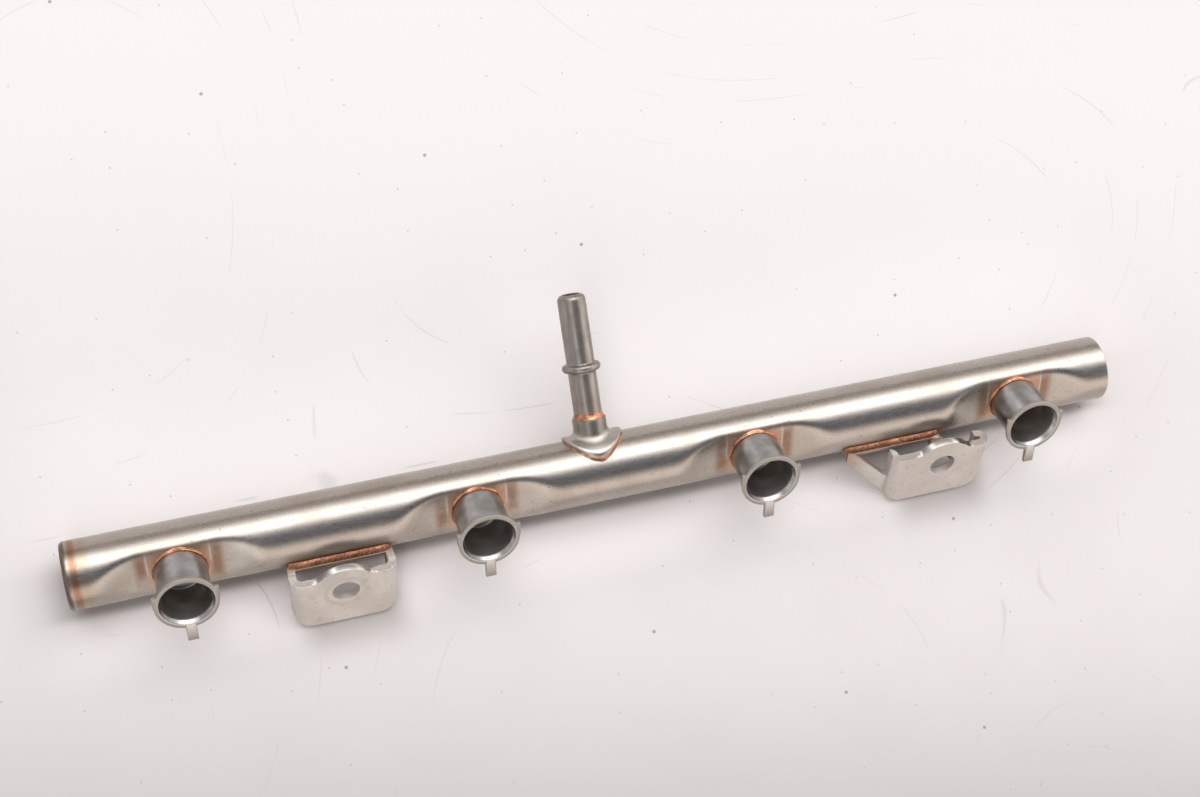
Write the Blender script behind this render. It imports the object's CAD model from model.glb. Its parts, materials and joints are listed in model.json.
import bpy
import json
import numpy as np
from functools import reduce
from math import pi, radians
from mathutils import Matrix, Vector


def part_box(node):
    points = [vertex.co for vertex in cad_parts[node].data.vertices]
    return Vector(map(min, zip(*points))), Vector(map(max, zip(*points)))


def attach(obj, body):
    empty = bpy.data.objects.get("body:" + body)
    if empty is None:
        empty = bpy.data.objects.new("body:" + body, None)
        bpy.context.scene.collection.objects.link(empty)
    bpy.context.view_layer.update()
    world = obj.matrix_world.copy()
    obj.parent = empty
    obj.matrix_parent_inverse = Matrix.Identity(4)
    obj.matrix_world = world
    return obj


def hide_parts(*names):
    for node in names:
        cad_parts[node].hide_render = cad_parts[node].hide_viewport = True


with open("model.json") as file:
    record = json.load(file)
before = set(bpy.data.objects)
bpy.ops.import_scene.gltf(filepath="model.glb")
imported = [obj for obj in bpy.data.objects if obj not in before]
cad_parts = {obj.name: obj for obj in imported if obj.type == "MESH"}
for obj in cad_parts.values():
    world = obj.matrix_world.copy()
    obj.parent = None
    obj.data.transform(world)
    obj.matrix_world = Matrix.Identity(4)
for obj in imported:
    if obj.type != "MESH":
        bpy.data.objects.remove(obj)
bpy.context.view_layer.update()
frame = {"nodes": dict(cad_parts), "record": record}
mm = 0.001

# Where things are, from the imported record: the way along the tube, the way the cups
# point, and the way square to both on the inlet's side.
mounts = {m["name"]: m for m in frame["record"]["mounts"]}
alongTube = np.array([1.0, 0.0, 0.0])
cupOut = np.array(mounts["injector_1"]["axis"])
inletSide = np.cross(cupOut, alongTube)
tubeBox = np.array(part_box("rail_tube"))
tubeCentre = tubeBox.mean(axis=0) * [0, 1, 1]
cupX = [mounts[f"injector_{k}"]["pos_m"][0] for k in (1, 2, 3, 4)]

# The brackets' plates face along plateOut, and their top edges along plateUp. Their copper
# lies at bracketTurn round the tube, where the skin meets the web's top edge.
bracketPlace = {
    "middles": (-94.5 * mm, 97.8 * mm), "stops": (-111.5 * mm, -77.5 * mm, 80.5 * mm, 114.8 * mm),
    "left": (-111 * mm, -78 * mm), "right": (80.3 * mm, 114.4 * mm),
    "webDown": 4 * mm, "webReach": 11.6 * mm,
}
plateOut = np.array(mounts["bolt_left"]["axis"])
plateUp = np.cross(plateOut, alongTube)
plateTurn = np.arcsin(np.dot(np.cross(cupOut, plateOut), alongTube))
bracketTurn = -plateTurn - np.arcsin(bracketPlace["webDown"] / bracketPlace["webReach"])


# Shader maths written as ordinary arithmetic on sockets.
class Wire:
    def __init__(self, tree, socket):
        self.tree = tree
        self.socket = socket

    def maths(self, operation, *values):
        node = self.tree.nodes.new("ShaderNodeMath")
        node.operation = operation
        for slot, value in zip(node.inputs, (self, *values)):
            join(self.tree, slot, value)
        return Wire(self.tree, node.outputs[0])

    def __add__(self, other): return self.maths("ADD", other)
    def __sub__(self, other): return self.maths("SUBTRACT", other)
    def __mul__(self, other): return self.maths("MULTIPLY", other)
    def __truediv__(self, other): return self.maths("DIVIDE", other)
    def __radd__(self, other): return self.maths("ADD", other)
    def __rmul__(self, other): return self.maths("MULTIPLY", other)
    def __rsub__(self, other): return self.maths("MULTIPLY_ADD", -1.0, other)
    def __pow__(self, other): return self.maths("POWER", other)
    def __abs__(self): return self.maths("ABSOLUTE")
    def __neg__(self): return self.maths("MULTIPLY", -1.0)

    def atLeast(self, other): return self.maths("MAXIMUM", other)

    def ramp(self, low, high):
        # A soft step from 0, where the value is low, to 1, where it is high.
        node = self.tree.nodes.new("ShaderNodeMapRange")
        node.interpolation_type = "SMOOTHSTEP"
        for name, value in (("Value", self), ("From Min", low), ("From Max", high)):
            join(self.tree, node.inputs[name], value)
        return Wire(self.tree, node.outputs[0])


def join(tree, slot, value):
    if isinstance(value, Wire):
        tree.links.new(value.socket, slot)
    else:
        slot.default_value = value


def nearest(along, places, far, close):
    # 1 within close of one of the places, falling softly to 0 at far.
    return reduce(Wire.atLeast, [abs(along - place).ramp(far, close) for place in places])


class Nodes:
    # The nodes of a material or of the world.
    def __init__(self, tree):
        self.tree = tree

    def node(self, kind, out=0, settings=None, **values):
        node = self.tree.nodes.new(kind)
        for key, value in (settings or {}).items():
            setattr(node, key, value)
        for key, value in values.items():
            join(self.tree, node.inputs[key], value)
        return Wire(self.tree, node.outputs[out])

    def vector(self, operation, a, b, out=0):
        node = self.tree.nodes.new("ShaderNodeVectorMath")
        node.operation = operation
        join(self.tree, node.inputs[0], a)
        join(self.tree, node.inputs[1], b)
        return Wire(self.tree, node.outputs[out])

    def mix(self, factor, a, b):
        node = self.tree.nodes.new("ShaderNodeMix")
        node.data_type = "RGBA"
        join(self.tree, node.inputs[0], factor)
        join(self.tree, node.inputs[6], a if isinstance(a, Wire) else (*a, 1))
        join(self.tree, node.inputs[7], b if isinstance(b, Wire) else (*b, 1))
        return Wire(self.tree, node.outputs[2])


class Paint(Nodes):
    # One material: a Principled shader and the nodes that feed it.
    def __init__(self, name, **fixed):
        self.material = bpy.data.materials.new(name)
        self.material.use_nodes = True
        super().__init__(self.material.node_tree)
        self.shader = self.tree.nodes["Principled BSDF"]
        for key, value in fixed.items():
            self.shader.inputs[key].default_value = value
        self.place = self.node("ShaderNodeTexCoord", out="Object")

    def noise(self, size, detail, roughness=0.5):
        # Noise whose features are about size metres across, the same or one for each axis.
        sizes = size if isinstance(size, tuple) else (size,) * 3
        place = self.vector("MULTIPLY", self.place, tuple(1 / v for v in sizes))
        return self.node("ShaderNodeTexNoise", Vector=place, Scale=1.0, Detail=detail,
                         Roughness=roughness)

    def specks(self, size, spread, share, place=None):
        # 1 where a speck is: a round spot in that share of the cells of a flat pattern, laid
        # over x and y unless another place is given.
        place = self.vector("MULTIPLY", place or self.place, (1 / spread,) * 3)
        cells = {out: self.node("ShaderNodeTexVoronoi", out=out, Vector=place, Scale=1.0,
                                settings={"voronoi_dimensions": "2D"})
                 for out in ("Distance", "Color")}
        picked = self.node("ShaderNodeSeparateColor", out="Red", Color=cells["Color"])
        spot = cells["Distance"].ramp(size / spread, 0.4 * size / spread)
        return spot * picked.ramp(share + 0.01, share)

    def axis(self, index):
        return self.node("ShaderNodeSeparateXYZ", out=index, Vector=self.place)

    def dot(self, way, of=None):
        # How far the place, or another vector, reaches along a way.
        return self.vector("DOT_PRODUCT", of or self.place, tuple(way), out=1)

    def attribute(self, name):
        return self.node("ShaderNodeAttribute", out="Fac", settings={"attribute_name": name})

    def colour(self, value):
        join(self.tree, self.shader.inputs["Base Color"], value)

    def metal(self, value):
        join(self.tree, self.shader.inputs["Metallic"], value)

    def rough(self, value):
        join(self.tree, self.shader.inputs["Roughness"], value)

    def bump(self, height, distance):
        bump = self.node("ShaderNodeBump", Height=height, Distance=distance, Strength=1.0)
        join(self.tree, self.shader.inputs["Normal"], bump)


def nearCups(paint):
    # Distance in metres along the tube from the nearest cup, signed.
    pitch = cupX[1] - cupX[0]
    return (paint.axis(0) - cupX[0] + 1.5 * pitch).maths("MODULO", pitch) - pitch / 2


def surface(name, points, fields=None):
    # A closed band of quads over a grid of points that wraps in both directions.
    rows, cols = points.shape[:2]
    index = np.arange(rows * cols).reshape(rows, cols)
    down = np.roll(index, -1, axis=0)
    quads = np.stack([index, np.roll(index, -1, axis=1), np.roll(down, -1, axis=1), down], -1)
    mesh = bpy.data.meshes.new(name)
    mesh.from_pydata(points.reshape(-1, 3).tolist(), [], quads.reshape(-1, 4).tolist())
    for key, values in (fields or {}).items():
        layer = mesh.attributes.new(key, "FLOAT", "POINT")
        layer.data.foreach_set("value", np.ascontiguousarray(values, dtype=np.float32).ravel())
    mesh.polygons.foreach_set("use_smooth", np.ones(rows * cols, dtype=bool))
    mesh.update()
    piece = bpy.data.objects.new(name, mesh)
    bpy.context.scene.collection.objects.link(piece)
    return piece


def finish(piece, paint, slot, *nodes):
    piece.data.materials.clear()
    piece.data.materials.append(paint.material)
    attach(piece, "root")
    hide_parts(*nodes)


def arc(centre, radius, start, end, count):
    # Points on an arc in the (radius, height) plane, angles in degrees.
    t = np.radians(np.linspace(start, end, count))
    return np.stack([centre[0] + radius * np.cos(t), centre[1] + radius * np.sin(t)], axis=-1)


def profile(*parts):
    return np.concatenate([np.atleast_2d(part) for part in parts])


def around(base, axis, across, t, r, h):
    # Grids of radii and heights carried round an axis: base + height * axis
    # + radius * (cos t * across + sin t * the third way), t along the grids' rows.
    way = np.cos(t)[:, None] * across + np.sin(t)[:, None] * np.cross(axis, across)
    return base + r[..., None] * way + h[..., None] * axis


def turned(base, axis, across, outline, count):
    # The outline, (radius, height) points, turned round an axis.
    t = np.linspace(0, 2 * pi, count, endpoint=False)
    return around(base, axis, across, t, outline[:, :1], outline[:, 1:])


def spread(stops, counts):
    # Samples that run through the stops with that many steps between each pair.
    parts = [np.linspace(a, b, n, endpoint=False)
             for a, b, n in zip(stops[:-1], stops[1:], counts)]
    return np.concatenate(parts + [stops[-1:]])


tubeSize = {
    "radius": 11.1 * mm, "bore": 9.6 * mm, "half": 179 * mm,
    "leftRound": 1.3 * mm, "rightRound": 0.4 * mm, "chamfer": 0.7 * mm,
    "seatLevel": 7.4 * mm, "seatHalf": 10 * mm, "seatRamp": 15 * mm, "seatBlend": 0.8 * mm,
    "seatTurn": 0.55, "seatWall": 1.6 * mm, "seatEnd": 31 * mm,
    "fuelHole": 3 * mm, "holeZone": 3.6 * mm, "holeDive": 1.4 * mm, "holeSoft": 0.4 * mm,
}


def fromCup(x):
    # How far each place along the tube is from the nearest cup.
    return np.min(np.abs(x[:, None] - np.array(cupX)), axis=1)


def seatLevel(x):
    # How far the tube's skin is left from its axis over and beside the cups: flat over the
    # seat, then an arc out past the full radius.
    s = tubeSize
    rise = s["radius"] - s["seatLevel"]
    bend = (s["seatRamp"] ** 2 + rise ** 2) / (2 * rise)
    t = np.clip(fromCup(x) - s["seatHalf"], 0, 1.4 * s["seatRamp"])
    return s["seatLevel"] + bend - np.sqrt(bend ** 2 - t ** 2)


def planeReach(level, phi):
    # How far out a plane at that level is, at each angle: level / cos(phi).
    return level[:, None] / np.clip(np.cos(phi), 0.05, None)


def pressedRadius(x, phi):
    # The smaller of the round tube and the pressed plane, run together over a short blend.
    radius, blend = tubeSize["radius"], tubeSize["seatBlend"]
    plane = planeReach(seatLevel(x), phi)
    gap = np.clip(np.abs(plane - radius) / blend, 0, 30)
    return np.minimum(plane, radius) - blend * np.log1p(np.exp(-gap))


def buildTube():
    s = tubeSize
    # Samples crowd over the cups and at the ends.
    stops, counts = [-s["half"], s["leftRound"] - s["half"]], [8]
    for x in cupX:
        stops += [x - s["seatEnd"], x - s["holeZone"], x + s["holeZone"], x + s["seatEnd"]]
        counts += [8, 36, 22, 36]
    stops += [s["half"] - s["rightRound"], s["half"]]
    counts += [8, 6]
    x = spread(stops, counts)
    phi = spread([-pi, -s["seatTurn"], s["seatTurn"], pi], [52, 44, 52])[:-1]
    r = pressedRadius(x, phi)
    # Rounded ends: the radius falls by round - sqrt(round^2 - t^2) over the last part.
    for side, size in ((-1, s["leftRound"]), (1, s["rightRound"])):
        t = np.clip(side * x - s["half"] + size, 0, size)
        r -= (size - np.sqrt(np.clip(size ** 2 - t ** 2, 0, None)))[:, None]
    # The fuel holes: the skin dives in under each cup.
    reach = np.hypot(fromCup(x)[:, None], r * np.sin(phi))
    inHole = np.clip((s["fuelHole"] - reach) / s["holeSoft"] + 0.5, 0, 1) * (np.cos(phi) > 0.5)
    r -= inHole * s["holeDive"]
    # The bore runs back the other way, wider in the mouths.
    mouth = s["half"] - s["chamfer"]
    inner = spread([-s["half"], -mouth, mouth, s["half"]], [3, 60, 3])[::-1]
    bore = np.minimum(s["bore"], planeReach(seatLevel(inner) - s["seatWall"], phi))
    bore = bore + np.clip(np.abs(inner) - mouth, 0, s["chamfer"])[:, None]
    allX = np.concatenate([x, inner])
    allR = np.concatenate([r, bore])
    way = np.cos(phi)[:, None] * cupOut + np.sin(phi)[:, None] * inletSide
    points = tubeCentre + allX[:, None, None] * alongTube + allR[..., None] * way
    turn = np.broadcast_to(phi, allR.shape)
    hole = np.concatenate([inHole, np.zeros_like(bore)])
    return surface("tube", points[:, ::-1], {"turn": turn[:, ::-1], "hole": hole[:, ::-1]})


tubeLook = {
    "steel": (0.42, 0.38, 0.345), "warm": (0.36, 0.305, 0.255), "pit": (0.23, 0.19, 0.16),
    "brown": (0.24, 0.14, 0.085), "copper": (0.46, 0.26, 0.17), "straw": (0.37, 0.285, 0.19),
    "band": (0.31, 0.16, 0.095), "crease": (0.66, 0.61, 0.56), "rim": (0.13, 0.085, 0.06),
    "soot": (0.07, 0.05, 0.04), "haze": (0.45, 0.385, 0.33), "roughness": 0.29,
    "creaseAt": 9.9 * mm, "brownAt": 11.7 * mm, "strawAt": 6.2 * mm, "bandAt": 3.3 * mm,
    "rimEnd": 2 * mm, "grainDepth": 0.012 * mm,
}


def tubePaint():
    look = tubeLook
    paint = Paint("tubeSteel", Metallic=1.0)
    x = paint.axis(0)
    turn = paint.attribute("turn")
    near = abs(nearCups(paint))
    cloud = paint.noise(14 * mm, 5.0, 0.55)
    grain = paint.noise((3 * mm, 0.4 * mm, 0.4 * mm), 3.0, 0.6)
    fine = paint.noise(1.2 * mm, 4.0, 0.6)
    pits = paint.noise(0.55 * mm, 3.0, 0.7)
    wobble = (fine - 0.5) * (3 * mm) + (cloud - 0.5) * (4 * mm)
    colour = paint.mix(cloud.ramp(0.42, 0.68) * 0.55, look["steel"], look["warm"])
    colour = paint.mix(pits.ramp(0.5, 0.7) * 0.4, colour, look["pit"])
    # Brazing heat beside the cups: on the flat they stand on, strongest at the copper, and
    # in a patch just past each crease.
    facing = abs(turn + (cloud - 0.5) * 0.3 - 0.1).ramp(1.05, 0.5)
    flat = (near + wobble * 0.1).ramp(10.6 * mm, 9.6 * mm) * facing
    brown = abs(near + wobble * 0.5 - look["brownAt"]).ramp(3.2 * mm, 0.4 * mm) * facing
    heat = 0.35 + near.ramp(10.4 * mm, 8.4 * mm) * 0.45
    colour = paint.mix(flat * heat, colour, look["copper"])
    colour = paint.mix(brown * cloud.ramp(0.25, 0.55) * 0.85, colour, look["brown"])
    crease = abs(near - look["creaseAt"] + wobble * 0.06).ramp(0.5 * mm, 0.1 * mm)
    colour = paint.mix(crease * turn.ramp(-0.25, 0.35) * facing * 0.5, colour, look["crease"])
    halo = near.ramp(17 * mm, 11 * mm) * facing
    # Heat tints run in from the left end: a dark rim, a copper band, then straw.
    inset = x + tubeSize["half"] + wobble * 0.3
    straw = abs(inset - look["strawAt"]).ramp(3 * mm, 0.5 * mm) * cloud.ramp(0.1, 0.5)
    band = abs(inset - look["bandAt"]).ramp(2 * mm, 0.3 * mm) * fine.ramp(0.1, 0.4)
    colour = paint.mix(straw * 0.7, colour, look["straw"])
    colour = paint.mix(band * 0.9, colour, look["band"])
    rim = inset.ramp(look["rimEnd"], look["rimEnd"] - 1 * mm)
    colour = paint.mix(rim * 0.9, colour, look["rim"])
    # Paler and duller along the brackets' copper lines, brown right beside them, with a
    # dark spot where they stop.
    aside = abs(turn - bracketTurn)
    haze = nearest(x, bracketPlace["middles"], 24 * mm, 16 * mm) * aside.ramp(0.75, 0.3)
    colour = paint.mix(haze * 0.4, colour, look["haze"])
    beside = nearest(x, bracketPlace["middles"], 18 * mm, 15.5 * mm)
    beside = beside * (aside + (fine - 0.5) * 0.15).ramp(0.27, 0.13)
    colour = paint.mix(beside * 0.7, colour, look["brown"])
    spots = nearest(x + wobble * 0.2, bracketPlace["stops"], 2.6 * mm, 0.6 * mm)
    colour = paint.mix(spots * aside.ramp(0.3, 0.05) * 0.75, colour, look["brown"])
    skin = paint.node("ShaderNodeCombineXYZ", X=x, Y=turn * tubeSize["radius"])
    colour = paint.mix(paint.specks(0.4 * mm, 5 * mm, 0.2, skin) * 0.8, colour, look["brown"])
    paint.colour(paint.mix(paint.attribute("hole"), colour, look["soot"]))
    paint.rough(look["roughness"] + (cloud - 0.5) * 0.12 + (grain - 0.5) * 0.18
                + halo * 0.12 + haze * 0.2)
    paint.bump(grain * 0.6 + pits * 0.4, look["grainDepth"])
    return paint


cupSize = {
    "radius": 8.4 * mm, "bore": 7.1 * mm, "height": 16.1 * mm, "wall": 1.3 * mm,
    "baseRound": 1.2 * mm, "hole": 3.0 * mm, "step": 4.7 * mm, "stepDepth": 0.5 * mm,
    "mouth": 8.88 * mm, "taper": 7.0 * mm, "throat": 8.05 * mm, "lip": 1.45 * mm,
    "lipRound": 0.22 * mm, "neckRound": 0.8 * mm, "floorRound": 0.6 * mm, "edge": 0.22 * mm,
    "flange": 10.1 * mm, "shoulder": 10.35 * mm, "shoulderTop": 4.5 * mm,
    "shoulderSide": 4.0 * mm, "shoulderTurn": 70, "corner": 11.4 * mm,
    "tabHalf": 1.7 * mm, "tabReach": 15.7 * mm,
}


def flangeOutline(count):
    # Distance from the centre to the flange's edge for each angle: the farthest of the
    # disc, the two shoulders and the tab. Angles crowd where the edge turns.
    s = cupSize
    tabTurn = np.arctan2(s["tabHalf"], s["tabReach"])
    tabRoot = np.arcsin(s["tabHalf"] / s["flange"])
    low = s["shoulderTop"] - s["shoulderSide"]
    corners = [-pi / 2 + turn for turn in (-tabRoot, -tabTurn, tabTurn, tabRoot)]
    corners += [np.arctan2(y, x) for x in (-s["shoulder"], s["shoulder"])
                for y in (s["shoulderTop"], low)]
    crowd = np.concatenate([corner + np.linspace(-0.06, 0.06, 13) for corner in corners])
    t = np.concatenate([np.linspace(0, 2 * pi, count, endpoint=False), crowd])
    t = np.unique(np.round(np.mod(t, 2 * pi), 5))
    x, y = np.cos(t), np.sin(t)
    tiny = 1e-6
    wide = np.clip(np.abs(x), tiny, None)
    tab = np.minimum(s["tabHalf"] / wide, s["tabReach"] / np.clip(-y, tiny, None))
    reach = np.where(y < -0.5, np.maximum(s["flange"], tab), s["flange"])
    side = s["shoulder"] / wide
    top = s["shoulderTop"] / np.clip(y, tiny, None)
    # Below a shoulder the edge runs slantwise back in to the disc.
    joinX = s["flange"] * np.sin(radians(s["shoulderTurn"]))
    joinY = low - s["shoulderSide"]
    slopeX, slopeY = joinY - low, s["shoulder"] - joinX
    slant = slopeX * s["shoulder"] + slopeY * low
    slant = slant / np.clip(slopeX * np.abs(x) + slopeY * y, -9, -tiny)
    shoulder = np.minimum(side, np.where(y * side >= low, top, slant))
    inReach = (y * side > joinY) & (np.abs(x) > 0.6)
    return t, np.where(inReach, np.maximum(reach, np.minimum(shoulder, s["corner"])), reach)


def buildCup(number):
    s = cupSize
    t, reach = flangeOutline(96)
    top, under, e = s["height"], s["height"] - s["wall"], s["edge"]
    step = s["wall"] - s["stepDepth"]
    inside = profile(
        (s["hole"], 0.2 * mm), (s["hole"], step - 0.1 * mm),
        arc((s["hole"] + 0.15 * mm, step - 0.15 * mm), 0.15 * mm, 180, 90, 3),
        (s["step"] - 0.1 * mm, step), (s["step"], s["wall"] - 0.12 * mm),
        (s["step"] + 0.12 * mm, s["wall"]),
        arc((s["bore"] - s["floorRound"], s["wall"] + s["floorRound"]), s["floorRound"],
            -90, 0, 6),
        np.linspace((s["bore"], s["wall"] + 0.9 * mm),
                    (s["bore"], top - s["taper"] - 0.4 * mm), 5),
        np.linspace((s["bore"] + 0.02 * mm, top - s["taper"]), (s["throat"], top - s["lip"]), 9),
        np.linspace((s["throat"] + 0.06 * mm, top - s["lip"] + 0.1 * mm),
                    (s["mouth"] - 0.19 * mm, top - s["lipRound"]), 5),
        arc((s["mouth"] + 0.02 * mm, top - s["lipRound"] + 0.02 * mm), 0.2 * mm, 158, 100, 4),
    )
    outside = profile(
        arc((s["radius"] + s["neckRound"], under - s["neckRound"]), s["neckRound"], 90, 180, 6),
        np.linspace((s["radius"], under - 1.6 * mm), (s["radius"], s["baseRound"] + 0.3 * mm), 5),
        arc((s["radius"] - s["baseRound"], s["baseRound"]), s["baseRound"], 0, -90, 6),
        (s["hole"] + 0.2 * mm, 0),
    )
    # The flange's edge follows the outline: inset rows, then the rim with small rounds.
    rim = np.array([(-1.2 * mm, top), (-e, top), (-0.3 * e, top - 0.3 * e), (0, top - e),
                    (0, under + e), (-0.3 * e, under + 0.3 * e), (-e, under)])
    edge = reach + rim[:, :1]
    edge = np.maximum(edge, s["mouth"] + 0.15 * mm + 0.1 * (edge - s["mouth"]))
    ring = np.ones(len(t))
    r = np.concatenate([inside[:, :1] * ring, edge, outside[:, :1] * ring])
    h = np.concatenate([inside[:, 1:], rim[:, 1:], outside[:, 1:]])
    base = tubeCentre + cupX[number - 1] * alongTube + tubeSize["seatLevel"] * cupOut
    points = around(base, cupOut, alongTube, t, r, h)
    height = np.broadcast_to(h, r.shape)
    inner = np.broadcast_to((np.arange(len(h)) < len(inside))[:, None] * 1.0, r.shape)
    fields = {"height": height[:, ::-1], "inner": inner[:, ::-1]}
    return surface(f"cup{number}", points[:, ::-1], fields)


cupLook = {
    "steel": (0.385, 0.375, 0.372), "warm": (0.275, 0.262, 0.25), "flange": (0.35, 0.32, 0.285),
    "lip": (0.48, 0.46, 0.44), "bore": (0.50, 0.475, 0.455), "copper": (0.36, 0.21, 0.14),
    "dark": (0.14, 0.12, 0.11), "roughness": 0.31,
}


def cupPaint():
    look = cupLook
    paint = Paint("cupSteel", Metallic=1.0)
    height = paint.attribute("height")
    inner = paint.attribute("inner")
    under = cupSize["height"] - cupSize["wall"]
    lipFoot = cupSize["height"] - cupSize["lip"]
    cloud = paint.noise(6 * mm, 4.0)
    fine = paint.noise(0.6 * mm, 4.0, 0.6)
    outside = paint.mix(cloud.ramp(0.38, 0.66), look["steel"], look["warm"])
    foot = (height + (fine - 0.5) * (1.6 * mm)).ramp(3.4 * mm, 1.0 * mm)
    outside = paint.mix(foot * 0.5, outside, look["copper"])
    plate = height.ramp(under - 0.5 * mm, under + 0.1 * mm) * (1 - inner)
    outside = paint.mix(plate, outside, look["flange"])
    # Inside: a smooth grey bore, darker at the bottom and bright on the lip.
    lip = height.ramp(lipFoot - 0.15 * mm, lipFoot + 0.15 * mm)
    inside = paint.mix(lip, look["bore"], look["lip"])
    inside = paint.mix(height.ramp(5.5 * mm, 1.2 * mm) * 0.6, inside, look["dark"])
    paint.colour(paint.mix(inner, outside, inside))
    paint.rough(look["roughness"] + (cloud - 0.5) * (0.16 * (1 - inner)) + plate * 0.16
                + inner * 0.05 - lip * inner * 0.14)
    paint.bump(fine * (1 - inner * 0.8), 0.015 * mm)
    return paint


copperLook = {
    "bright": (0.78, 0.43, 0.29), "copper": (0.52, 0.245, 0.145), "deep": (0.25, 0.11, 0.062),
    "soot": (0.08, 0.05, 0.04), "grain": 0.5 * mm,
}


def copperPaint(name, rough, depth, clean):
    # depth is the grain's, and clean sets how much is bright: 0 is all brown, 1 all copper.
    look = copperLook
    paint = Paint(name, Metallic=1.0)
    cloud = paint.noise(3.5 * mm, 4.0)
    grain = paint.noise(look["grain"], 4.0, 0.65)
    clear = cloud.ramp(0.62 - clean * 0.4, 0.92 - clean * 0.4)
    colour = paint.mix(clear, look["deep"], look["copper"])
    colour = paint.mix(grain.ramp(0.5, 0.72) * (0.35 + 0.5 * clean), colour, look["bright"])
    colour = paint.mix(cloud.ramp(0.36, 0.24) * 0.7, colour, look["soot"])
    paint.colour(colour)
    paint.rough(rough + (grain - 0.5) * 0.25)
    paint.bump(grain * 0.6 + cloud * 0.4, depth)
    return paint


cupRingSize = {"reach": 0.5 * mm, "high": 0.6 * mm, "uneven": 0.1 * mm, "under": 0.5 * mm,
               "inset": 0.03 * mm}


def buildCupRing(number):
    # A hollow fillet: radius from the cup's wall out to the toe, height following the tube.
    s = cupRingSize
    start = cupSize["radius"] - s["inset"]
    t = np.linspace(0, 2 * pi, 160, endpoint=False)
    wave = 0.5 * np.sin(2 * t + number) + 0.3 * np.sin(5 * t + 2 * number) + 0.2 * np.sin(9 * t)
    f = np.array([0, 0.08, 0.2, 0.35, 0.55, 0.8, 1.0])[:, None]
    high = s["high"] + s["uneven"] * np.cos(3 * t + number)
    r = start + f * (s["inset"] + s["reach"] + s["uneven"] * wave)
    x = r * np.cos(t) + cupX[number - 1]
    level = seatLevel(x.ravel()).reshape(x.shape)
    unpressed = np.sqrt(np.clip(tubeSize["radius"] ** 2 - (r * np.sin(t)) ** 2, 0, None))
    skin = np.minimum(level, unpressed) - tubeSize["seatLevel"]
    tops = skin * f ** 0.5 + high * (1 - f) ** 2.2
    # The underside runs back inside the tube's skin.
    back = [-1, 3, 0]
    r = np.concatenate([r, r[back]])
    h = np.concatenate([tops, skin[back] - s["under"]])
    base = tubeCentre + cupX[number - 1] * alongTube + tubeSize["seatLevel"] * cupOut
    return surface(f"cupCopper{number}", around(base, cupOut, alongTube, t, r, h)[:, ::-1])


inletSize = {
    "radius": 4.7 * mm, "bore": 2.75 * mm, "start": 8.6 * mm, "tip": 59.2 * mm,
    "tipRound": 1.9 * mm, "bead": 6.45 * mm, "beadOut": 34.8 * mm, "beadHalf": 1.25 * mm,
    "beadRound": 1.1 * mm, "beadFoot": 0.22 * mm,
}
inletOut = np.array(mounts["inlet_spigot"]["axis"])
inletBase = tubeCentre + mounts["inlet_spigot"]["pos_m"][0] * alongTube


def buildSpigot():
    s = inletSize
    low, high = s["beadOut"] - s["beadHalf"], s["beadOut"] + s["beadHalf"]
    # The bead's crown is an arc whose ends don't quite stand upright.
    crown = np.linspace(-1, 1, 13)
    drop = s["beadRound"] * (1 - np.sqrt(1 - 0.999 * crown ** 2))
    bead = np.stack([s["bead"] - drop, s["beadOut"] + s["beadHalf"] * crown], -1)
    foot = np.array([(s["radius"] + 0.03 * mm, 0.25 * mm),
                     (s["radius"] + s["beadFoot"], 0.03 * mm)])
    outline = profile(
        (s["bore"], s["start"]), (s["radius"], s["start"]),
        np.linspace((s["radius"], s["start"] + 0.5 * mm), (s["radius"], low - 0.8 * mm), 9),
        foot * (1, -1) + (0, low), bead, foot[::-1] + (0, high),
        np.linspace((s["radius"], high + 0.8 * mm),
                    (s["radius"], s["tip"] - s["tipRound"] - 0.2 * mm), 9),
        arc((s["radius"] - s["tipRound"], s["tip"] - s["tipRound"]), s["tipRound"], 0, 90, 9),
        (s["bore"] + 0.02 * mm, s["tip"] - 0.05 * mm), (s["bore"], s["tip"] - 0.2 * mm),
        np.linspace((s["bore"], s["tip"] - 1 * mm), (s["bore"], s["start"] + 1 * mm), 6),
    )
    return surface("spigot", turned(inletBase, inletOut, alongTube, outline, 96))


saddleSize = {
    "rim": 9.95 * mm, "over": 1.3 * mm, "edge": 0.28 * mm, "neck": 5.65 * mm,
    "neckTop": 17.6 * mm, "neckRound": 1.9 * mm, "inner": 4.72 * mm, "cone": 2.6 * mm,
}


def buildSpigotCopper():
    # A hollow cone of copper from the neck's end up the spigot, wavy at its tip.
    s = saddleSize
    radius = inletSize["radius"]
    t = np.linspace(0, 2 * pi, 96, endpoint=False)
    f = np.linspace(0, 1, 8)[:, None]
    reach = s["cone"] * (0.93 + 0.06 * np.sin(3 * t) + 0.05 * np.sin(7 * t + 1))
    h = s["neckTop"] + reach * f ** 1.2
    r = radius - 0.02 * mm + (s["neck"] - radius) * (1 - f) ** 1.8 * 0.97
    r = np.concatenate([np.broadcast_to(r, h.shape), np.full((2, len(t)), radius - 0.05 * mm)])
    h = np.concatenate([h, h[-1:] - 0.1 * mm, h[:1]])
    return surface("neckCopper", around(inletBase, inletOut, alongTube, t, r, h))


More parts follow.
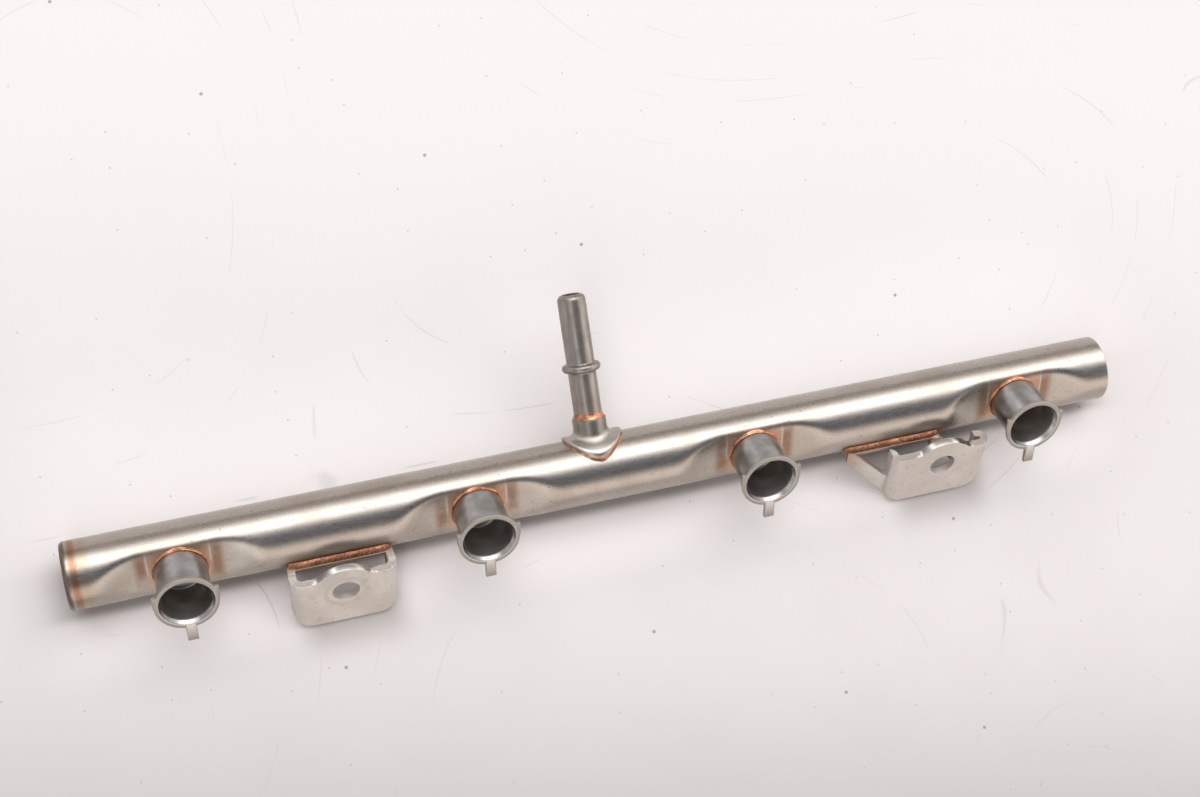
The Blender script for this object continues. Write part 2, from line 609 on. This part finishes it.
def buildSaddle():
    # A turned neck on a plate wrapped round the tube: at radius r and angle t the plate's
    # height above the tube's axis is the root of (its own radius^2 - (r sin t)^2).
    s = saddleSize
    t = np.linspace(0, 2 * pi, 144, endpoint=False)
    across = np.sin(t)[None]
    lift = np.radians(np.linspace(0, 90, 8))[1:, None]
    rim, e, top, under = s["rim"], s["edge"], s["over"], -0.05 * mm

    def wrapped(r, over):
        return np.sqrt((tubeSize["radius"] + over) ** 2 - (r * across) ** 2)

    plate = np.linspace(rim - 1.2 * e, s["neck"] + s["neckRound"], 6)[:, None]
    fillet = s["neck"] + s["neckRound"] * (1 - np.sin(lift))
    foot = wrapped(fillet, top) + s["neckRound"] * (1 - np.cos(lift))
    rise = np.linspace(0, 1, 5)[1:, None]
    neck = foot[-1:] + rise * (s["neckTop"] - 0.2 * mm - foot[-1:])
    ends = np.array([[s["neck"] - 0.06 * mm, s["neckTop"] - 0.06 * mm],
                     [s["neck"] - 0.2 * mm, s["neckTop"]],
                     [s["inner"], s["neckTop"]], [s["inner"], s["neckTop"] - 3 * mm]])
    edge = np.array([rim - e, rim, rim, rim - 0.3 * e])[:, None]
    flat = np.ones_like(across)
    r = np.concatenate([edge * flat, plate * flat, fillet * flat, np.full_like(neck, s["neck"]),
                        ends[:, :1] * flat, s["inner"] * flat])
    h = np.concatenate([wrapped(rim - e, under), wrapped(rim, e), wrapped(rim, top - e),
                        wrapped(rim, top - 0.3 * e), wrapped(plate, top), foot, neck,
                        ends[:, 1:] * flat, wrapped(s["inner"], under)])
    fields = {"rimNear": np.clip((r - rim + 1.2 * mm) / (1.2 * mm), 0, 1),
              "neckNear": np.clip((s["neck"] + 0.5 * mm - r) / (0.45 * mm), 0, 1)}
    return surface("saddle", around(inletBase, inletOut, alongTube, t, r, h), fields)


saddleRingSize = {"reach": 0.22 * mm, "high": 0.42 * mm, "uneven": 0.1 * mm, "under": 0.2 * mm}


def buildSaddleCopper():
    # A thin uneven line of copper under the saddle's rim.
    s = saddleRingSize
    t = np.linspace(0, 2 * pi, 200, endpoint=False)
    wave = 0.5 * np.sin(3 * t + 1) + 0.3 * np.sin(8 * t) + 0.2 * np.sin(17 * t + 2)
    f = np.array([-0.4, 0.0, 0.15, 0.45, 0.75, 1.0])[:, None]
    r = saddleSize["rim"] + f * (s["reach"] + s["uneven"] * wave)
    above = (s["high"] + s["uneven"] * wave) * (1 - np.clip(f, 0, 1)) ** 1.6
    r = np.concatenate([r, r[[-1, 0]]])
    above = np.concatenate([above, np.full((2, len(t)), -s["under"])])
    h = np.sqrt(tubeSize["radius"] ** 2 - (r * np.sin(t)) ** 2) + above
    points = around(inletBase, inletOut, alongTube, t, r, h)
    return surface("saddleCopper", points[:, ::-1])


spigotLook = {
    "steel": (0.32, 0.285, 0.255), "tint": (0.17, 0.14, 0.12), "straw": (0.32, 0.26, 0.205),
    "bright": (0.46, 0.435, 0.405), "neck": (0.22, 0.19, 0.165), "copper": (0.34, 0.20, 0.13),
    "roughness": 0.37,
}


def saddlePaint():
    look = spigotLook
    paint = Paint("saddleSteel", Metallic=1.0)
    cloud = paint.noise(5 * mm, 4.0)
    fine = paint.noise(0.6 * mm, 4.0)
    colour = paint.mix(cloud.ramp(0.35, 0.7) * 0.5, look["bright"], look["straw"])
    rim = paint.attribute("rimNear").ramp(0.55, 1.0) * cloud.ramp(0.3, 0.6)
    colour = paint.mix(rim * 0.8, colour, look["copper"])
    paint.colour(paint.mix(paint.attribute("neckNear") * 0.85, colour, look["neck"]))
    paint.rough(look["roughness"] + (cloud - 0.5) * 0.15)
    paint.bump(fine, 0.015 * mm)
    return paint


def spigotPaint():
    look = spigotLook
    paint = Paint("spigotSteel", Metallic=1.0)
    reach = paint.axis(1)
    streak = paint.noise((0.8 * mm, 16 * mm, 6 * mm), 4.0, 0.55)
    cloud = paint.noise(5 * mm, 4.0)
    fine = paint.noise(0.5 * mm, 4.0)
    colour = paint.mix(streak.ramp(0.35, 0.7) * 0.45, look["steel"], look["tint"])
    colour = paint.mix(cloud.ramp(0.42, 0.66) * 0.35, colour, look["tint"])
    heat = (reach + (cloud - 0.5) * (8 * mm)).ramp(18 * mm, 3 * mm)
    paint.colour(paint.mix(heat * 0.5, colour, look["straw"]))
    paint.rough(look["roughness"] + (streak - 0.5) * 0.1)
    paint.bump(streak * 0.3 + fine * 0.7, 0.01 * mm)
    return paint


capSize = {
    "radius": 9.6 * mm, "wall": 1.2 * mm, "depth": 6.5 * mm, "round": 1.0 * mm,
    "backRound": 2.2 * mm, "rimRound": 0.25 * mm, "centre": (0.002 * mm, 0.06 * mm),
}


def buildCap(name, side):
    # Open outward, flush with the tube's end; height is measured inward from the end.
    s = capSize
    e, near, nextOut = s["rimRound"], *s["centre"]
    well = s["radius"] - s["wall"]
    floor = s["depth"] - s["wall"]
    outline = profile(
        (near, floor), (nextOut, floor), (well * 0.6, floor),
        arc((well - s["round"], floor - s["round"]), s["round"], 90, 0, 7),
        (well, 2 * e), arc((well + e, e), e, 180, 270, 4),
        arc((s["radius"] - e, e), e, 270, 360, 4),
        (s["radius"], s["depth"] - s["backRound"] - 0.2 * mm),
        arc((s["radius"] - s["backRound"], s["depth"] - s["backRound"]), s["backRound"],
            0, 90, 6),
        (nextOut, s["depth"]), (near, s["depth"]),
    )
    base = tubeCentre + side * tubeSize["half"] * alongTube
    return surface(name, turned(base, -side * alongTube, inletSide, outline, 96))


softenSize = {"weld": 0.004 * mm, "sharpest": 35, "segments": 3}


def soften(node, width, paint):
    # The CAD piece keeps its shape; its sharp edges get a small round.
    piece = frame["nodes"][node]
    weld = piece.modifiers.new("weld", "WELD")
    weld.merge_threshold = softenSize["weld"]
    bevel = piece.modifiers.new("round", "BEVEL")
    bevel.width = width
    bevel.segments = softenSize["segments"]
    bevel.limit_method = "ANGLE"
    bevel.angle_limit = radians(softenSize["sharpest"])
    bevel.harden_normals = False
    for index in range(len(piece.data.materials)):
        piece.data.materials[index] = paint.material


# The section of the brackets' copper, (outward, down) in the plate's frame: its front
# runs from low, on the tube, to high, on the web, and its back is hidden.
bracketCopperSize = {
    "low": (10.82 * mm, 2.55 * mm), "high": (12.75 * mm, 4.04 * mm),
    "back": ((11.9 * mm, 4.3 * mm), (11.0 * mm, 4.1 * mm), (10.7 * mm, 3.2 * mm)),
    "shut": (11.2 * mm, 3.7 * mm), "bulge": 0.12 * mm, "bulgeWay": (0.69, -0.72),
    "taper": 3 * mm, "thinnest": 0.1, "waves": (420, 870, 1500, 2600, 4100),
}


def buildBracketCopper(name, start, stop, seed):
    # A lumpy fillet lying in the corner between the tube and the web's top edge.
    s = bracketCopperSize
    random = np.random.default_rng(seed)
    x = np.linspace(start, stop, 170)
    t = np.linspace(0, 1, 9)
    waves = sum(random.uniform(0.3, 1)
                * np.sin(x[:, None] * rate + random.uniform(0, 6) + 2 * t * (k % 3))
                for k, rate in enumerate(s["waves"])) / 3
    ends = np.clip(np.minimum(x - start, stop - x) / s["taper"], s["thinnest"], 1)
    ends = ends[:, None] ** 0.7
    low, high = np.array(s["low"]), np.array(s["high"])
    line = low + t[:, None] * (high - low) * (0.5 + 0.5 * ends[..., None])
    bulge = ends * (1 + waves) * s["bulge"] * np.sin(pi * t) ** 1.5
    front = line + bulge[..., None] * np.array(s["bulgeWay"])
    back = np.broadcast_to(s["back"], (len(x), 3, 2))
    section = np.concatenate([front, back], axis=1)
    # The two ends close on a point inside the copper.
    shut = np.broadcast_to(s["shut"], (1, section.shape[1], 2))
    section = np.concatenate([shut, section, shut])
    x = np.concatenate([x[:1], x, x[-1:]])
    outward, down = section[..., :1], section[..., 1:]
    along = x[:, None, None] * alongTube
    return surface(name, tubeCentre + along + outward * plateOut - down * plateUp)


bracketLook = {
    "plate": (0.54, 0.485, 0.435), "pale": (0.615, 0.56, 0.505), "dull": (0.40, 0.34, 0.285),
    "tint": (0.49, 0.39, 0.41), "copper": (0.38, 0.225, 0.155), "edge": (0.60, 0.575, 0.55),
    "washer": (0.46, 0.38, 0.29), "washerReach": 6.6 * mm,
    "roughness": 0.48, "edgeRoughness": 0.24, "metal": 0.45,
}


def bracketPaint():
    look = bracketLook
    paint = Paint("bracketSteel")
    x = paint.axis(0)
    cloud = paint.noise(9 * mm, 5.0, 0.55)
    mottle = paint.noise(2.2 * mm, 4.0, 0.6)
    fine = paint.noise(0.5 * mm, 4.0, 0.65)
    colour = paint.mix(cloud.ramp(0.38, 0.64), look["plate"], look["pale"])
    colour = paint.mix(mottle.ramp(0.52, 0.72) * 0.45, colour, look["dull"])
    # A faint purple heat tint on the right bracket.
    tint = x.ramp(92 * mm, 100 * mm) * x.ramp(122 * mm, 112 * mm) * cloud.ramp(0.45, 0.6)
    colour = paint.mix(tint * 0.5, colour, look["tint"])
    # A worn ring where a washer sat round the left bolt hole.
    hole = np.array(mounts["bolt_left"]["pos_m"])
    up = paint.dot(plateUp) - float(np.dot(hole, plateUp))
    reach = ((x - float(hole[0])) ** 2.0 + up ** 2.0) ** 0.5
    worn = abs(reach - look["washerReach"] + (mottle - 0.5) * (1.2 * mm))
    worn = worn.ramp(1.3 * mm, 0.3 * mm) * cloud.ramp(0.35, 0.6)
    colour = paint.mix(worn * 0.5, colour, look["washer"])
    # Copper washes down the web. out is the way out from the tube's axis, square to the
    # plate.
    out = paint.dot(plateOut) - float(np.dot(tubeCentre, plateOut))
    wash = (out + (mottle - 0.5) * (2 * mm)).ramp(14.8 * mm, 12.8 * mm)
    colour = paint.mix(wash * 0.75, colour, look["copper"])
    colour = paint.mix(paint.specks(0.4 * mm, 4 * mm, 0.25) * 0.6, colour, look["dull"])
    # Sheared edges, polished: the faces that look up the plate.
    normal = paint.node("ShaderNodeNewGeometry", out="Normal")
    edge = paint.dot(plateUp, normal).ramp(0.55, 0.8)
    edge = edge * out.ramp(13.6 * mm, 14.6 * mm) * up.ramp(0.5 * mm, 2 * mm)
    paint.colour(paint.mix(edge, colour, look["edge"]))
    paint.metal(look["metal"] + edge * (1 - look["metal"]))
    paint.rough(look["roughness"] + (cloud - 0.5) * 0.2 + (mottle - 0.5) * 0.12
                - edge * (look["roughness"] - look["edgeRoughness"]))
    paint.bump((mottle * 0.5 + fine * 0.5) * (1 - edge), 0.02 * mm)
    return paint


print("tube")
finish(buildTube(), tubePaint(), "tube_steel", "rail_tube")
copper = copperPaint("copperBright", rough=0.28, depth=0.03 * mm, clean=0.68)
roughCopper = copperPaint("copperRough", rough=0.34, depth=0.08 * mm, clean=0.45)
print("cups")
cupSteel = cupPaint()
for number in (1, 2, 3, 4):
    finish(buildCup(number), cupSteel, "cup_steel", f"injector_cup_{number}")
    finish(buildCupRing(number), copper, "copper", f"cup_braze_{number}")
print("inlet")
finish(buildSpigot(), spigotPaint(), "spigot_steel", "inlet_spigot")
finish(buildSpigotCopper(), copper, "copper", "spigot_braze")
finish(buildSaddle(), saddlePaint(), "saddle_steel", "inlet_saddle")
finish(buildSaddleCopper(), roughCopper, "copper", "saddle_braze")
print("ends")
for name, side in (("left", -1), ("right", 1)):
    finish(buildCap(f"cap{name.title()}", side), cupSteel, "cap_steel", f"end_cap_{name}")
    soften(f"end_braze_{name}", width=0.05 * mm, paint=copper)
print("brackets")
bracketSteel = bracketPaint()
for name in ("left", "right"):
    soften(f"bracket_{name}", width=0.3 * mm, paint=bracketSteel)
    piece = buildBracketCopper(f"{name}BracketCopper", *bracketPlace[name], seed=3)
    finish(piece, roughCopper, "copper", f"bracket_braze_{name}")


floorLook = {
    "pale": (0.65, 0.611, 0.597), "warm": (0.63, 0.591, 0.574), "far": (0.70, 0.662, 0.648),
    "near": (0.425, 0.396, 0.383), "lifted": (0.85, 0.80, 0.785), "contact": (0.26, 0.23, 0.21),
    "speck": (0.22, 0.19, 0.17), "scratch": (0.45, 0.41, 0.39), "roughness": 0.6,
    "half": 3.0, "backWay": (0.21, 0.978, 0), "feet": (-92 * mm, 117 * mm),
    "scratches": (0.42, 0.47, 0.5, 0.55, 0.61), "scratchHalf": 0.0008,
}


def floorPaint():
    look = floorLook
    paint = Paint("tableTop")
    x, y = paint.axis(0), paint.axis(1)
    cloud = paint.noise(60 * mm, 4.0)
    colour = paint.mix(cloud.ramp(0.35, 0.65), look["pale"], look["warm"])
    # Paler toward the back, duller toward the front.
    back = paint.dot(look["backWay"])
    colour = paint.mix(back.ramp(-20 * mm, 130 * mm), colour, look["far"])
    colour = paint.mix(back.ramp(-48 * mm, -165 * mm), colour, look["near"])
    # Light thrown back by the tube keeps the table pale close to it, down to a thin dark
    # line of contact. Both fade beyond the tube's ends.
    past = (abs(x) - 150 * mm).atLeast(0)
    front = y.ramp(-54 * mm, -34 * mm) * y.ramp(-26.8 * mm, -29.8 * mm)
    front = front * past.ramp(50 * mm, 5 * mm) * 0.75
    away = (past ** 2.0 + (y + 2 * mm).atLeast(0) ** 2.0) ** 0.5
    behind = away.ramp(75 * mm, 0) ** 1.5 * y.ramp(-12 * mm, -6 * mm) * 0.68
    colour = paint.mix(front.atLeast(behind), colour, look["lifted"])
    contact = y.ramp(-28.4 * mm, -25.4 * mm) * y.ramp(-8 * mm, -16 * mm)
    contact = contact * abs(x).ramp(190 * mm, 172 * mm)
    colour = paint.mix(contact * 0.85, colour, look["contact"])
    # Shade where the two plates stand.
    foot = nearest(x, look["feet"], 22 * mm, 10 * mm) * y.ramp(-34 * mm, -42 * mm)
    foot = foot * y.ramp(-64 * mm, -45 * mm) ** 2.0
    colour = paint.mix(foot * 0.6, colour, look["contact"])
    colour = paint.mix(paint.specks(0.45 * mm, 13 * mm, 0.25) * 0.45, colour, look["speck"])
    colour = paint.mix(paint.specks(0.8 * mm, 55 * mm, 0.3) * 0.8, colour, look["speck"])
    # Faint scratches: short stretches of a wandering line.
    wander = paint.noise(190 * mm, 0.0)
    stretch = paint.noise(25 * mm, 2.0).ramp(0.5, 0.62)
    for level in look["scratches"]:
        line = abs(wander - level).ramp(look["scratchHalf"], 0.0003)
        colour = paint.mix(line * stretch * 0.35, colour, look["scratch"])
    paint.colour(colour)
    paint.rough(look["roughness"] + (cloud - 0.5) * 0.1)
    return paint


print("table")
floorMesh = bpy.data.meshes.new("floor")
half = floorLook["half"]
corners = [(-half, -half, 0), (half, -half, 0), (half, half, 0), (-half, half, 0)]
floorMesh.from_pydata(corners, [], [(0, 1, 2, 3)])
floorMesh.materials.append(floorPaint().material)
floor = bpy.data.objects.new("floor", floorMesh)
bpy.context.scene.collection.objects.link(floor)

# A soft sky whose level changes with the angle round the tube's axis, from the front
# horizon (0) over the top (90) to the back horizon (180). Past the tube's two ends the
# light is other: sides runs from the left (0) to the right (100), with a soft box on each
# side. Each stop is a place, a level and a tone.
skyLight = {
    "over": ((0, 1.15, "warm"), (28, 1.5, "warm"), (41, 0.9, "warm"), (52, 0.17, "cool"),
             (84, 0.19, "cool"), (95, 0.55, "cool"), (103, 1.6, "plain"), (110, 3.6, "plain"),
             (133, 3.7, "plain"), (145, 1.8, "plain"), (154, 0.75, "warm"),
             (165, 0.45, "warm"), (180, 0.32, "warm")),
    "sides": ((0, 1.2, "plain"), (11, 0.6, "cool"), (20, 0.6, "plain"), (31, 2.2, "plain"),
              (37, 1.2, "plain"), (80, 1.6, "plain"), (100, 2.0, "plain")),
    "warm": (1.08, 0.98, 0.92), "cool": (0.90, 0.98, 1.16), "plain": (0.995, 0.995, 1.0),
    "backdrop": (0.95, 0.945, 0.94), "strength": 5.0,
}


def lightRamp(sky, along, stops, span):
    # A colour ramp through the stops, whose places run from 0 to span. Levels are stored
    # divided by the background's strength, which gives them back.
    ramp = sky.node("ShaderNodeValToRGB", Fac=along)
    elements = ramp.socket.node.color_ramp.elements
    elements[0].position, elements[1].position = 0, 1
    while len(elements) < len(stops):
        elements.new(0.5)
    for element, (place, level, tone) in zip(elements, stops):
        element.position = place / span
        element.color = (*[level * c / skyLight["strength"] for c in skyLight[tone]], 1)
    return ramp


print("light")
world = bpy.data.worlds.new("studio")
bpy.context.scene.world = world
world.use_nodes = True
background = world.node_tree.nodes["Background"]
sky = Nodes(world.node_tree)
way = sky.node("ShaderNodeTexCoord", out="Generated")
right, back, height = [sky.node("ShaderNodeSeparateXYZ", out=axis, Vector=way)
                       for axis in "XYZ"]
overTube = lightRamp(sky, height.maths("ARCTAN2", -back) / pi, skyLight["over"], 180)
besideTube = lightRamp(sky, right * 0.5 + 0.5, skyLight["sides"], 100)
beside = right.ramp(-0.18, -0.32).atLeast(right.ramp(0.55, 0.75))
light = sky.mix(beside, overTube, besideTube)
seen = sky.node("ShaderNodeLightPath", out="Is Camera Ray")
backdrop = [c / skyLight["strength"] for c in skyLight["backdrop"]]
join(sky.tree, background.inputs[0], sky.mix(seen, light, backdrop))
background.inputs[1].default_value = skyLight["strength"]

print("camera")
cameraSet = {
    "place": (-0.1434, -0.03016, 0.62914), "turn": (6.23494, -12.12276, -12.12561),
    "lens": 57.0, "sensor": 36, "nearest": 0.01,
}
cameraData = bpy.data.cameras.new("camera")
camera = bpy.data.objects.new("camera", cameraData)
bpy.context.scene.collection.objects.link(camera)
camera.location = cameraSet["place"]
camera.rotation_euler = [radians(v) for v in cameraSet["turn"]]
cameraData.lens = cameraSet["lens"]
cameraData.sensor_width = cameraSet["sensor"]
cameraData.clip_start = cameraSet["nearest"]
bpy.context.scene.camera = camera
bpy.context.scene.view_settings.view_transform = "Standard"
